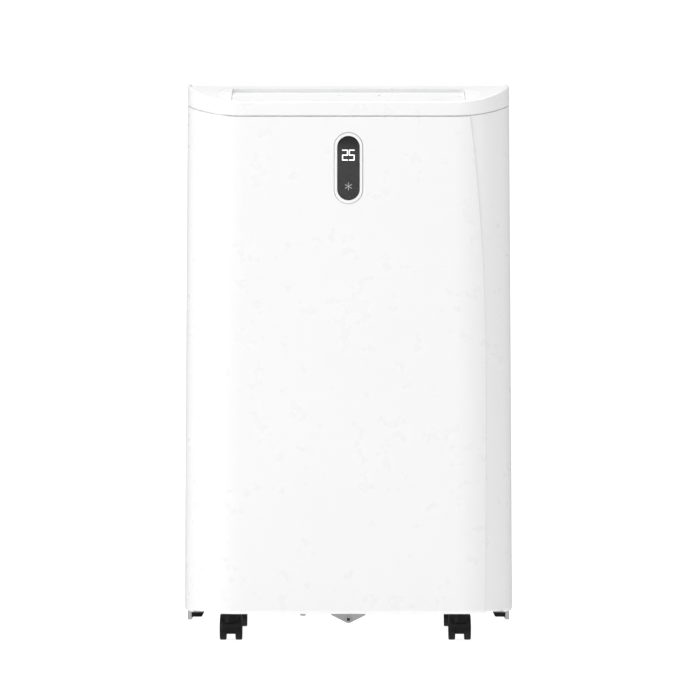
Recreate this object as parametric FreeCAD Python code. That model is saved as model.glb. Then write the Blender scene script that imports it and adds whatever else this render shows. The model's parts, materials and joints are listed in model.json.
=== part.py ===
"""Portable air conditioner on four swivel casters.

Millimetres. The origin is on the floor under the middle of the cabinet, +Z is up and the front faces -Y.
"""
import FreeCAD
import Part

import math
import os

# Cabinet
WIDTH = 415.0               # across the side panels at the base
TOP_WIDTH = 407.0           # across the side panels at the top
DEPTH = 340.0               # from the display ring to the rear panel
HEIGHT = 705.0              # floor to the level part of the rim
BODY_BOTTOM = 36.0          # underside of the panels
WALL = 2.5
FRONT_CORNER_R = 70.0
REAR_CORNER_R = 30.0
BOTTOM_EDGE_R = 5.0
FRONT_PROUD = 1.4           # how far the front panel stands in front of the side panels
PANEL_GAP = 0.5             # round the rear panel
CREASE_GAP = 0.05           # between the front panel and the side panels
CREASE_R = 1.2              # rounding of the front panel's side edges
LIP = 12.0                  # inward lip under the panels
REAR_PANEL_HALF = 172.0

# Front panel's curved side edges
CREASE_HALF = 172.5         # half the front panel's width below the bend
CREASE_TOP_HALF = 152.6     # the same at the seam
CREASE_BEND_Z = 335.0       # where the edges start to lean in
CREASE_FOOT = 3.0           # how much narrower the panel is at its foot

# Crown: the top rises from the front edge and levels off
CROWN_RUN = 105.0
RIM_RISE = 30.0
SEAM_RISE = 21.0
RIM_BAND = 27.0             # height of the rim's band at its level part
SEAM_GAP = 1.9
RIM_WALL = 4.0
RIM_OUTER_R = 2.5           # rounding of the rim's top edges
RIM_INNER_R = 1.0
DECK_DROP = 2.0             # deck surface below the rim's top
DECK_THICK = 2.5

# Air outlet in the sloping part of the deck
OUTLET_LENGTH = 330.0
OUTLET_WIDTH = 50.0
OUTLET_INSET = 8.0          # outlet's front edge behind the panel's face
OUTLET_DEPTH = 67.0         # frame's lower edge below the level part of the deck
FLAP_INSET = 4.0            # flap's front edge behind the outlet's
FLAP_END = 6.0              # how far the flap runs into the outlet's round ends
FLAP_GAP = 0.5
FLAP_CHORD = 42.0           # in plan
FLAP_RISE = 12.1
FLAP_THICK = 2.6
FLAP_CAMBER = 0.9
PIN_R = 2.5
RUN_GAP = 0.05              # radial clearance of a running fit
VANE_COUNT = 4
VANE_PITCH = 68.0
VANE_LENGTH = 30.0
VANE_TALL = 19.0
CRANK = 10.0                # vane axis to link pin

# Display
BEZEL_PROUD = 1.0
BEZEL_LENGTH = 88.4
BEZEL_WIDTH = 35.2
RING = 3.45
BEZEL_GAP = 0.6             # shadow line round the ring
BEZEL_FLANGE = 3.0
WINDOW_DROP = 64.0          # middle of the display below the seam
WINDOW_SINK = 1.4

# Grip pockets in the side panels
GRIP_LONG = 112.0
GRIP_TALL = 34.0
GRIP_DEEP = 24.0
GRIP_DROP = 100.0           # pocket's middle below the rim
GRIP_Y = 20.0

# Control panel and buttons
CONTROL_LENGTH = 230.0
CONTROL_WIDTH = 44.0
CONTROL_Y = 0.0
BUTTON_R = 8.0
BUTTON_PITCH = 48.0
BUTTON_COUNT = 4
BUTTON_GAP = 0.4
BUTTON_PROUD = 0.9

# Casters
STEM_R = 4.0
STEM_RISE = 26.0            # stem above the base pan's floor
CASTER_X = 144.3            # half the spacing
CASTER_SHIFT = -4.0         # the pattern sits a little off the middle
FRONT_STEM_INSET = 45.0     # stem behind the panel's face
REAR_STEM_INSET = 71.0      # stem ahead of the back
TRAIL = 10.0
WHEEL_R = 15.0
WHEEL_WIDE = 8.4
CASTER_WIDE = 28.6
AXLE_R = 2.5
CASTER_TOP_GAP = 1.0

# Side feet, front tab and the pan's small foot
SIDE_FOOT_INSET = 60.0      # behind the panel's face
SIDE_FOOT_LENGTH = 42.0
SIDE_FOOT_OUTER = 4.0       # bracket's outer face inside the cabinet's side
BRACKET_WIDE = 5.0
PAD_WIDE = 14.0
SIDE_FOOT_DROP = 11.0       # bracket below the cabinet
TAB_WIDE = 43.0
TAB_DROP = 11.0
TAB_HOLE_R = 2.1
TAB_HOLE_X = 0.0
TAB_HOLE_DROP = 6.4
PAN_FOOT_X = -57.0
PAN_FOOT_WIDE = 7.5
PAN_FOOT_DROP = 3.0

# Inner layout
TRAY_Z = 412.0              # underside of the drain tray
TRAY_THICK = 8.0
WHEEL_BLADES = 30
FAN_R = 72.0
SCROLL_R = 88.0
SCROLL_WALL = 2.5
MOTOR_R = 42.0
SHAFT_R = 4.0
SCROLL_Y0 = -34.0
SCROLL_Y1 = 58.0
LOWER_SCROLL_X = -75.0
LOWER_SCROLL_Z = 142.0
MOUTH_WIDE = 112.0
COMPRESSOR_X = 95.0
COMPRESSOR_Y = -50.0
COMPRESSOR_R = 56.0
COMPRESSOR_TALL = 200.0
COMPRESSOR_FEET_R = 66.0    # shell's axis to each foot
ACCUMULATOR_R = 21.0
ACCUMULATOR_X = 147.0
ACCUMULATOR_Y = 22.0
ACCUMULATOR_LOW = 50.0      # above the base pan's floor
ACCUMULATOR_TALL = 130.0
COIL_DEPTH = 36.0
COIL_SIDE_GAP = 58.0        # between a coil and the outside of the cabinet
COIL_REAR_GAP = 32.0        # between a coil and the back
FIN_PITCH = 12.0
FIN_THICK = 0.6
TUBE_R = 3.5
EXHAUST_R = 75.0
EXHAUST_X = -90.0
EXHAUST_Z = 330.0
EXHAUST_WALL = 2.5

# Rear openings: middle height and height
UPPER_WINDOW = (530.0, 190.0)
LOWER_WINDOW = (162.0, 150.0)
GRILLE_WIDE = 296.0
GRILLE_DEEP = 9.0
GRILLE_GAP = 0.6
SLAT_PITCH = 8.5
DRAIN_R = 8.0
DRAIN_X = 120.0
DRAIN_Z = 62.0
GLAND_X = 110.0
GLAND_Z = 300.0
GLAND_R = 7.0

# Worked out
BACK = DEPTH / 2
PANEL_FACE = -DEPTH / 2 + BEZEL_PROUD
SIDE_FACE = PANEL_FACE + FRONT_PROUD
FLOOR_Z = BODY_BOTTOM + WALL
FLOOR_THICK = 3.0
SEAM_LEVEL = HEIGHT - RIM_BAND
SEAM_FRONT = SEAM_LEVEL - SEAM_RISE
OUTLET_Y = PANEL_FACE + OUTLET_INSET + OUTLET_WIDTH / 2
THROAT_Z = HEIGHT - DECK_DROP - OUTLET_DEPTH
FLAP_HALF = OUTLET_LENGTH / 2 - OUTLET_WIDTH / 2 + FLAP_END
BIG = 60.0                  # how far a cutting shape runs past what it cuts


def vec(x, y, z):
    return FreeCAD.Vector(x, y, z)


def box(x0, x1, y0, y1, z0, z1):
    return Part.makeBox(x1 - x0, y1 - y0, z1 - z0, vec(x0, y0, z0))


def rod(radius, start, end):
    run = vec(*end) - vec(*start)
    return Part.makeCylinder(radius, run.Length, vec(*start), run)


def tube(outer, inner, start, end):
    return rod(outer, start, end).cut(rod(inner, start, end))


def join(shapes):
    """One shape from pieces that touch or overlap."""
    return shapes[0].multiFuse(shapes[1:]).removeSplitter() if len(shapes) > 1 else shapes[0]


def group(shapes):
    return Part.makeCompound(shapes)


def polygon_yz(points, x0, x1):
    """A prism along X from an outline of (y, z) points."""
    corners = [vec(x0, y, z) for y, z in points]
    face = Part.Face(Part.makePolygon(corners + corners[:1]))
    return face.extrude(vec(x1 - x0, 0, 0))


def stadium(centre, length, width, along, across):
    """A capsule outline: length is overall, along and across are unit vectors."""
    half = length / 2 - width / 2
    radius = width / 2
    right = centre + along * half
    left = centre - along * half
    top = Part.LineSegment(left + across * radius, right + across * radius)
    end = Part.Arc(right + across * radius, right + along * radius, right - across * radius)
    foot = Part.LineSegment(right - across * radius, left - across * radius)
    start = Part.Arc(left - across * radius, left - along * radius, left + across * radius)
    return Part.Face(Part.Wire([top.toShape(), end.toShape(), foot.toShape(), start.toShape()]))


def flat_stadium(x, y, z, length, width, height):
    """A capsule prism lying level, its length along X."""
    face = stadium(vec(x, y, z), length, width, vec(1, 0, 0), vec(0, 1, 0))
    return face.extrude(vec(0, 0, height))


def upright_stadium(x, y, z, length, width, depth):
    """A capsule prism standing up, its length along Z and its thickness towards +Y."""
    face = stadium(vec(x, y, z), length, width, vec(0, 0, 1), vec(1, 0, 0))
    return face.extrude(vec(0, depth, 0))


# Cabinet forms

def half_width(z):
    """Half the cabinet's width: the sides lean in as they rise."""
    rise = (z - BODY_BOTTOM) / (HEIGHT - BODY_BOTTOM)
    return (WIDTH + (TOP_WIDTH - WIDTH) * rise) / 2


def cabinet_form(inset, front):
    """The cabinet's outer shape, or one inset from it, running above the top."""
    low = BODY_BOTTOM + inset
    high = HEIGHT + BIG
    y0 = front + inset
    bottom = half_width(low) - inset
    top = half_width(high) - inset
    corners = [vec(-bottom, y0, low), vec(bottom, y0, low), vec(top, y0, high), vec(-top, y0, high)]
    face = Part.Face(Part.makePolygon(corners + corners[:1]))
    form = face.extrude(vec(0, BACK - inset - y0, 0))
    for y, radius in ((y0, FRONT_CORNER_R), (BACK - inset, REAR_CORNER_R)):
        edges = [e for e in form.Edges if e.BoundBox.ZLength > BIG and abs(e.BoundBox.YMin - y) < 0.01
                 and e.BoundBox.YLength < 0.01]
        form = form.makeFillet(radius - inset, edges)
    bottom_edges = [e for e in form.Edges if e.BoundBox.ZMax < low + 0.01]
    return form.makeFillet(BOTTOM_EDGE_R - inset, bottom_edges) if inset < BOTTOM_EDGE_R else form


def crown_z(level, rise, y):
    """Height of the crown's curve at a depth."""
    left = min(max((y - PANEL_FACE) / CROWN_RUN, 0.0), 1.0)
    return level - rise * (1 - left) ** 2


def under_crown(level, rise):
    """Everything below the crown's curve."""
    wide = WIDTH
    start = vec(-wide, PANEL_FACE, level - rise)
    knee = vec(-wide, PANEL_FACE + CROWN_RUN / 2, level)
    end = vec(-wide, PANEL_FACE + CROWN_RUN, level)
    curve = Part.BezierCurve()
    curve.setPoles([start, knee, end])
    slope = rise / (CROWN_RUN / 2)
    ahead = vec(-wide, PANEL_FACE - BIG, level - rise - slope * BIG)
    behind = vec(-wide, BACK + BIG, level)
    low_behind = vec(-wide, BACK + BIG, -BIG)
    low_ahead = vec(-wide, PANEL_FACE - BIG, -BIG)
    edges = [Part.makeLine(ahead, start), curve.toShape(), Part.makeLine(end, behind),
             Part.makeLine(behind, low_behind), Part.makeLine(low_behind, low_ahead),
             Part.makeLine(low_ahead, ahead)]
    return Part.Face(Part.Wire(edges)).extrude(vec(2 * wide, 0, 0))


def front_region(grow):
    """The part of the cabinet that the front panel covers, wider by grow on each side."""
    y = PANEL_FACE - BIG
    foot = CREASE_HALF - CREASE_FOOT + grow
    waist = CREASE_HALF + grow
    top = CREASE_TOP_HALF + grow
    lean = (CREASE_HALF - CREASE_TOP_HALF) / ((SEAM_FRONT - CREASE_BEND_Z) / 2)
    low = 2 * BODY_BOTTOM
    edges = []
    for side in (1, -1):
        lower = Part.BezierCurve()
        lower.setPoles([vec(side * foot, y, 0), vec(side * waist, y, low), vec(side * waist, y, 2 * low)])
        upper = Part.BezierCurve()
        middle = (CREASE_BEND_Z + SEAM_FRONT) / 2
        upper.setPoles([vec(side * waist, y, CREASE_BEND_Z), vec(side * waist, y, middle),
                        vec(side * top, y, SEAM_FRONT)])
        straight = Part.makeLine(vec(side * waist, y, 2 * low), vec(side * waist, y, CREASE_BEND_Z))
        tip = vec(side * (top - lean * BIG), y, SEAM_FRONT + BIG)
        edges += [lower.toShape(), straight, upper.toShape(),
                  Part.makeLine(vec(side * top, y, SEAM_FRONT), tip)]
    edges.append(Part.makeLine(vec(-foot, y, 0), vec(foot, y, 0)))
    reach = top - lean * BIG
    edges.append(Part.makeLine(vec(-reach, y, SEAM_FRONT + BIG), vec(reach, y, SEAM_FRONT + BIG)))
    wire = Part.Wire(Part.__sortEdges__(edges))
    return Part.Face(wire).extrude(vec(0, BIG + CROWN_RUN, 0))


# Shells

def edge_middle(edge):
    return edge.valueAt((edge.FirstParameter + edge.LastParameter) / 2)


def lies_on(edge, shell):
    return edge.distToShape(shell)[0] < 0.02 and Part.Vertex(edge_middle(edge)).distToShape(shell)[0] < 0.02


def crown_edges(shape, inset):
    """The edges where the rim's top meets a cabinet form."""
    shell = cabinet_form(inset, PANEL_FACE).Shells[0]
    found = []
    for edge in shape.Edges:
        middle = edge_middle(edge)
        if abs(middle.z - crown_z(HEIGHT, RIM_RISE, middle.y)) < 0.05 and lies_on(edge, shell):
            found.append(edge)
    return found


def bottom_opening():
    """The hole inside the lip under the panels."""
    half = half_width(BODY_BOTTOM) - LIP
    opening = box(-half, half, PANEL_FACE + LIP, BACK - LIP, 0, FLOOR_Z + 0.01)
    edges = [e for e in opening.Edges if e.BoundBox.ZLength > 1]
    return opening.makeFillet(REAR_CORNER_R - LIP / 2, edges)


def front_panel(outer, inner, seam):
    shell = outer.cut(inner).common(seam).common(front_region(0)).cut(bottom_opening())
    limit = CREASE_TOP_HALF - LIP
    long_edges = [e for e in shell.Edges if abs(edge_middle(e).x) > limit and e.BoundBox.ZLength > FRONT_PROUD * LIP
                  and BODY_BOTTOM + BOTTOM_EDGE_R < edge_middle(e).z < SEAM_LEVEL and lies_on(e, outer.Shells[0])]
    shell = shell.makeFillet(CREASE_R, long_edges)
    hole = upright_stadium(0, PANEL_FACE - 1, SEAM_FRONT - WINDOW_DROP, BEZEL_LENGTH + 2 * BEZEL_GAP,
                           BEZEL_WIDTH + 2 * BEZEL_GAP, BIG)
    return shell.cut(hole)


def side_panels(outer, inner, seam):
    shell = outer.cut(inner).common(seam).cut(front_region(CREASE_GAP)).cut(bottom_opening())
    shell = shell.cut(box(-REAR_PANEL_HALF, REAR_PANEL_HALF, 0, BACK + BIG, 0, HEIGHT))
    halves = []
    z = HEIGHT - GRIP_DROP
    for side in (-1, 1):
        face = half_width(z)
        deep, near = sorted((side * (face - GRIP_DEEP), side * (face + BIG)))
        hollow = box(deep, near, GRIP_Y - GRIP_LONG / 2, GRIP_Y + GRIP_LONG / 2,
                     z - GRIP_TALL / 2, z + GRIP_TALL / 2)
        hollow = hollow.makeFillet(8.0, [e for e in hollow.Edges if e.BoundBox.XLength > 1])
        deep, near = sorted((side * (face - GRIP_DEEP - WALL), side * (face + BIG)))
        cup = box(deep, near, GRIP_Y - GRIP_LONG / 2 - WALL, GRIP_Y + GRIP_LONG / 2 + WALL,
                  z - GRIP_TALL / 2 - WALL, z + GRIP_TALL / 2 + WALL)
        cup = cup.makeFillet(8.0 + WALL, [e for e in cup.Edges if e.BoundBox.XLength > 1])
        start, end = sorted((0, side * WIDTH))
        half = shell.common(box(start, end, -DEPTH, DEPTH, 0, HEIGHT))
        halves.append(half.fuse(cup.common(outer)).cut(hollow).removeSplitter())
    return halves


def window_box(window, gap, y0, y1):
    z, tall = window
    half = GRILLE_WIDE / 2 - gap
    return box(-half, half, y0, y1, z - tall / 2 + gap, z + tall / 2 - gap)


def rear_panel(outer, inner, seam):
    half = REAR_PANEL_HALF - PANEL_GAP
    shell = outer.cut(inner).common(seam).cut(bottom_opening())
    shell = shell.common(box(-half, half, BACK - LIP - WALL, BACK + BIG, 0, HEIGHT))
    for window in (UPPER_WINDOW, LOWER_WINDOW):
        surround = window_box(window, -WALL, BACK - GRILLE_DEEP - 3, BACK)
        shell = shell.fuse(surround).cut(window_box(window, 0, BACK - BIG, BACK + BIG))
    for x, z, radius in ((EXHAUST_X, EXHAUST_Z, EXHAUST_R + EXHAUST_WALL), (DRAIN_X, DRAIN_Z, DRAIN_R + 5),
                         (GLAND_X, GLAND_Z, GLAND_R)):
        shell = shell.cut(rod(radius, (x, BACK - BIG, z), (x, BACK + BIG, z)))
    for x, y, z in screw_places():
        shell = shell.cut(rod(2.2, (x, y - BIG, z), (x, y + BIG, z)))
    return shell.removeSplitter()


def screw_places():
    """Rear screws: three down each side."""
    x = REAR_PANEL_HALF - 8
    above_window = LOWER_WINDOW[0] + LOWER_WINDOW[1] / 2 + 14
    heights = (BODY_BOTTOM + 22, above_window, SEAM_LEVEL - 20)
    return [(side * x, BACK, z) for side in (-1, 1) for z in heights]


def case_screws():
    screws = []
    for x, y, z in screw_places():
        shank = rod(2.0, (x, y - 12, z), (x, y - 1.2, z))
        head = rod(3.8, (x, y - 1.2, z), (x, y, z))
        slot = join([box(x - 2.4, x + 2.4, y - 0.8, y + 1, z - 0.5, z + 0.5),
                     box(x - 0.5, x + 0.5, y - 0.8, y + 1, z - 2.4, z + 2.4)])
        screws.append(shank.fuse(head).cut(slot))
    return group(screws)


def counterbores():
    return group([rod(4.0, (x, y - 1.2, z), (x, y + 1, z)) for x, y, z in screw_places()])


def top_rim(outer, inner, seam):
    top = under_crown(HEIGHT, RIM_RISE)
    gap = under_crown(SEAM_LEVEL + SEAM_GAP, SEAM_RISE)
    band = outer.cut(cabinet_form(RIM_WALL, PANEL_FACE)).common(top).cut(gap)
    skirt_low = under_crown(SEAM_LEVEL - 8, SEAM_RISE)
    skirt = inner.cut(cabinet_form(WALL + 2, SIDE_FACE)).common(under_crown(SEAM_LEVEL + 6, SEAM_RISE))
    rim = band.fuse(skirt.cut(skirt_low)).removeSplitter()
    rim = rim.makeFillet(RIM_OUTER_R, crown_edges(rim, 0))
    return rim.makeFillet(RIM_INNER_R, crown_edges(rim, RIM_WALL))


def outlet_block(low, drop):
    """The outlet's capsule from a height up to the deck's surface, less a drop."""
    block = flat_stadium(0, OUTLET_Y, low, OUTLET_LENGTH, OUTLET_WIDTH, HEIGHT)
    return block.common(under_crown(HEIGHT - DECK_DROP - drop, RIM_RISE))


def top_deck():
    level = HEIGHT - DECK_DROP
    inside = cabinet_form(RIM_WALL, PANEL_FACE)
    sheet = inside.common(under_crown(level, RIM_RISE)).cut(under_crown(level - DECK_THICK, RIM_RISE))
    sheet = sheet.cut(flat_stadium(0, OUTLET_Y, 0, OUTLET_LENGTH, OUTLET_WIDTH, 2 * HEIGHT))
    return sheet.cut(flat_stadium(0, CONTROL_Y, 0, CONTROL_LENGTH, CONTROL_WIDTH, 2 * HEIGHT))


def control_panel():
    level = HEIGHT - DECK_DROP
    plate = flat_stadium(0, CONTROL_Y, level - DECK_THICK, CONTROL_LENGTH, CONTROL_WIDTH, DECK_THICK)
    flange = flat_stadium(0, CONTROL_Y, level - DECK_THICK - 2, CONTROL_LENGTH + 10, CONTROL_WIDTH + 10, 2)
    panel = plate.fuse(flange)
    for x in button_places():
        panel = panel.cut(rod(BUTTON_R + BUTTON_GAP, (x, CONTROL_Y, 0), (x, CONTROL_Y, 2 * HEIGHT)))
    return panel.removeSplitter()


def button_places():
    return [(index - (BUTTON_COUNT - 1) / 2) * BUTTON_PITCH for index in range(BUTTON_COUNT)]


def push_button(x):
    level = HEIGHT - DECK_DROP
    cap = rod(BUTTON_R, (x, CONTROL_Y, level - 7), (x, CONTROL_Y, level + BUTTON_PROUD))
    cap = cap.makeFillet(0.7, [e for e in cap.Edges if e.BoundBox.ZMin > level])
    flange = rod(BUTTON_R + 2, (x, CONTROL_Y, level - 8.5), (x, CONTROL_Y, level - 7))
    return cap.fuse(flange).removeSplitter()


# Outlet

def flap_line():
    """(y, z) of the flap's front and rear edges and of its pivot."""
    front = PANEL_FACE + OUTLET_INSET + FLAP_INSET
    z = crown_z(HEIGHT - DECK_DROP, RIM_RISE, front) - 0.1
    pivot = (front + FLAP_CHORD / 2, z + FLAP_RISE / 2 - FLAP_THICK)
    return (front, z), (front + FLAP_CHORD, z + FLAP_RISE), pivot


def louver_flap():
    (y0, z0), (y1, z1), (yp, zp) = flap_line()
    crest = vec(-FLAP_HALF, (y0 + y1) / 2, (z0 + z1) / 2 + FLAP_CAMBER)
    top = Part.Arc(vec(-FLAP_HALF, y0, z0), crest, vec(-FLAP_HALF, y1, z1))
    low = Part.Arc(vec(-FLAP_HALF, y1, z1 - FLAP_THICK), crest - vec(0, 0, FLAP_THICK),
                   vec(-FLAP_HALF, y0, z0 - FLAP_THICK))
    rear = Part.makeLine(vec(-FLAP_HALF, y1, z1), vec(-FLAP_HALF, y1, z1 - FLAP_THICK))
    front = Part.makeLine(vec(-FLAP_HALF, y0, z0 - FLAP_THICK), vec(-FLAP_HALF, y0, z0))
    blade = Part.Face(Part.Wire([top.toShape(), rear, low.toShape(), front])).extrude(vec(2 * FLAP_HALF, 0, 0))
    blade = blade.makeFillet(1.0, [e for e in blade.Edges if e.BoundBox.XLength > FLAP_HALF])
    pieces = [blade]
    for side in (-1, 1):
        pieces.append(rod(PIN_R + 1.5, (side * (FLAP_HALF - 5), yp, zp), (side * FLAP_HALF, yp, zp)))
        pieces.append(rod(PIN_R, (side * (FLAP_HALF - 5), yp, zp), (side * (FLAP_HALF + 7), yp, zp)))
    return join(pieces)


def vane_places():
    return [(index - (VANE_COUNT - 1) / 2) * VANE_PITCH for index in range(VANE_COUNT)]


def outlet_frame():
    frame = outlet_block(THROAT_Z, 0.3)
    half = FLAP_HALF + FLAP_GAP
    well = flat_stadium(0, OUTLET_Y, 0, OUTLET_LENGTH - 2 * WALL, OUTLET_WIDTH - 2 * WALL, 2 * HEIGHT)
    well = well.common(box(-half, half, -DEPTH, DEPTH, 0, 2 * HEIGHT))
    bar = box(-half - 1, half + 1, OUTLET_Y - 5, OUTLET_Y + 5, THROAT_Z, THROAT_Z + 3)
    frame = frame.cut(well).fuse(bar)
    _, _, (y, z) = flap_line()
    frame = frame.cut(rod(PIN_R + RUN_GAP, (-half - 8, y, z), (half + 8, y, z)))
    for x in vane_places():
        frame = frame.cut(rod(1.5 + RUN_GAP, (x, OUTLET_Y, THROAT_Z - 1), (x, OUTLET_Y, THROAT_Z + 5)))
    return frame.removeSplitter()


def vane(x):
    low = THROAT_Z + 3.3
    y = OUTLET_Y
    plate = box(x - 0.8, x + 0.8, y - VANE_LENGTH / 2, y + VANE_LENGTH / 2, low, low + VANE_TALL)
    hub = rod(2.6, (x, y, low), (x, y, low + VANE_TALL))
    pin = rod(1.5, (x, y, low - 3.3), (x, y, low + 1))
    crank = rod(1.0, (x, y + CRANK, low + VANE_TALL - 2), (x, y + CRANK, low + VANE_TALL + 3.4))
    return join([plate, hub, pin, crank])


def vane_link():
    low = THROAT_Z + 3.3 + VANE_TALL + 0.5
    y = OUTLET_Y + CRANK - 0.9
    reach = (VANE_COUNT - 1) / 2 * VANE_PITCH
    bar = flat_stadium(0, y, low, 2 * reach + 12, 9, 2)
    for x in vane_places():
        bar = bar.cut(box(x - 1.6, x + 1.6, y - 2.6, y + 2.2, low - 1, low + 3))
    return bar


def outlet_duct():
    """Carries air from the scroll's mouth forward to the outlet."""
    mouth = scroll_mouth_z(TRAY_Z + TRAY_THICK)
    wide = FLAP_HALF + FLAP_GAP + WALL
    front = OUTLET_Y - OUTLET_WIDTH / 2
    rear = OUTLET_Y + OUTLET_WIDTH / 2
    roof = THROAT_Z + 14

    def outline(t):
        return [(SCROLL_Y1 - t, mouth), (SCROLL_Y1 - t, roof - t), (rear + WALL - t, roof - t),
                (rear + WALL - t, THROAT_Z), (front + t, THROAT_Z),
                (front + t, THROAT_Z - 14 + t), (SCROLL_Y0 + t, mouth)]

    outer = polygon_yz(outline(0), -wide, wide)
    inner = polygon_yz(outline(WALL), -wide + WALL, wide - WALL)
    duct = outer.cut(inner).cut(outlet_block(THROAT_Z - 0.01, 0))
    left, right = scroll_mouth_x(0)
    floor = [box(-wide, left, SCROLL_Y0, SCROLL_Y1, mouth, mouth + WALL),
             box(right, wide, SCROLL_Y0, SCROLL_Y1, mouth, mouth + WALL)]
    return join([duct] + [piece.common(outer) for piece in floor])


# Display

def display_pieces():
    z = SEAM_FRONT - WINDOW_DROP
    behind = SIDE_FACE + WALL
    front = PANEL_FACE - BEZEL_PROUD
    ring = upright_stadium(0, front, z, BEZEL_LENGTH, BEZEL_WIDTH, behind - front)
    ring = ring.makeFillet(0.8, [e for e in ring.Edges if e.BoundBox.YMax < front + 0.01])
    flange = upright_stadium(0, behind, z, BEZEL_LENGTH + 2 * BEZEL_FLANGE, BEZEL_WIDTH + 2 * BEZEL_FLANGE, 2)
    opening = upright_stadium(0, front - 5, z, BEZEL_LENGTH - 2.3 * RING, BEZEL_WIDTH - 2 * RING, 20)
    bezel = ring.fuse(flange).cut(opening).removeSplitter()
    face = front + WINDOW_SINK
    window = upright_stadium(0, face, z, BEZEL_LENGTH - 2.3 * RING, BEZEL_WIDTH - 2 * RING, 3)
    return bezel, window, display_symbols(face, z)


def display_symbols(face, z):
    """Two digits and a snowflake, as thin raised bars on the window."""
    thick = 0.2
    stroke = 1.2
    wide = 7.3
    tall = 13.5
    bars = []

    def bar(x0, z0, x1, z1, width):
        run = vec(x1 - x0, 0, z1 - z0)
        middle = vec((x0 + x1) / 2, face - thick, (z0 + z1) / 2)
        along = vec(run.x, 0, run.z).normalize()
        across = vec(-along.z, 0, along.x)
        outline = stadium(middle, run.Length + width, width, along, across)
        bars.append(outline.extrude(vec(0, thick, 0)))

    top = z + 16.3 + tall / 2 - stroke / 2
    middle = z + 16.3
    low = z + 16.3 - tall / 2 + stroke / 2
    reach = wide - stroke
    for start, lower_left in ((-8.0 + stroke / 2, True), (0.4 + stroke / 2, False)):
        end = start + reach
        for height in (top, middle, low):
            bar(start, height, end, height, stroke)
        upper_x = end if lower_left else start
        lower_x = start if lower_left else end
        bar(upper_x, middle, upper_x, top, stroke)
        bar(lower_x, low, lower_x, middle, stroke)
    digits = join(bars[:5])
    second = join(bars[5:])
    bars.clear()
    centre = z - 22.8
    arm = 4.8
    for turn in range(6):
        angle = math.radians(60 * turn + 30)
        x = math.cos(angle)
        up = math.sin(angle)
        bar(0, centre, arm * x, centre + arm * up, 0.6)
        for lean in (-1, 1):
            twig = angle + lean * math.radians(55)
            start_x = 0.6 * arm * x
            start_z = centre + 0.6 * arm * up
            bar(start_x, start_z, start_x + 0.8 * math.cos(twig), start_z + 0.8 * math.sin(twig), 0.35)
    return group([digits, second, join(bars)])


# Base and casters

def stem_places():
    front = PANEL_FACE + FRONT_STEM_INSET
    rear = BACK - REAR_STEM_INSET
    left = CASTER_SHIFT - CASTER_X
    right = CASTER_SHIFT + CASTER_X
    return {"front_left": (left, front), "front_right": (right, front),
            "rear_left": (left, rear), "rear_right": (right, rear)}


def base_pan(inner):
    floor_top = FLOOR_Z + FLOOR_THICK
    block = inner.common(box(-WIDTH, WIDTH, -DEPTH, DEPTH, 0, floor_top + 22))
    hollow = cabinet_form(WALL + 2.5, SIDE_FACE).common(box(-WIDTH, WIDTH, -DEPTH, DEPTH, floor_top, HEIGHT))
    pan = block.cut(hollow)
    for x, y in stem_places().values():
        pan = pan.fuse(rod(STEM_R + 5, (x, y, floor_top), (x, y, floor_top + STEM_RISE + 3)))
    for x, y in stem_places().values():
        pan = pan.cut(rod(STEM_R + RUN_GAP, (x, y, 0), (x, y, floor_top + STEM_RISE + 0.5)))
    for x, y in grommet_places():
        pan = pan.fuse(rod(7, (x, y, floor_top), (x, y, floor_top + 2)))
        pan = pan.fuse(rod(2.5, (x, y, floor_top), (x, y, floor_top + 24)))
    spout_y = BACK - 11
    pan = pan.fuse(rod(DRAIN_R - 1, (DRAIN_X, BACK - 40, DRAIN_Z), (DRAIN_X, spout_y, DRAIN_Z)))
    pan = pan.fuse(box(DRAIN_X - DRAIN_R, DRAIN_X + DRAIN_R, BACK - 40, BACK - 32, floor_top, DRAIN_Z))
    pan = pan.cut(rod(DRAIN_R - 3, (DRAIN_X, BACK - 45, DRAIN_Z), (DRAIN_X, BACK, DRAIN_Z)))
    pan = pan.cut(rod(DRAIN_R + 5, (DRAIN_X, spout_y, DRAIN_Z), (DRAIN_X, BACK, DRAIN_Z)))
    foot_y = PANEL_FACE + LIP + 3
    foot = box(PAN_FOOT_X - PAN_FOOT_WIDE / 2, PAN_FOOT_X + PAN_FOOT_WIDE / 2, foot_y, foot_y + 8,
               BODY_BOTTOM - PAN_FOOT_DROP, FLOOR_Z + 1)
    foot = foot.makeFillet(1.5, [e for e in foot.Edges if e.BoundBox.ZMax < BODY_BOTTOM and e.BoundBox.YLength > 1])
    return pan.fuse(foot).cut(cabinet_screw_cuts()).removeSplitter()


def cabinet_screw_cuts():
    return group([rod(2.2, (x, y - BIG / 2, z), (x, y + BIG, z)) for x, y, z in screw_places()])


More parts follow.
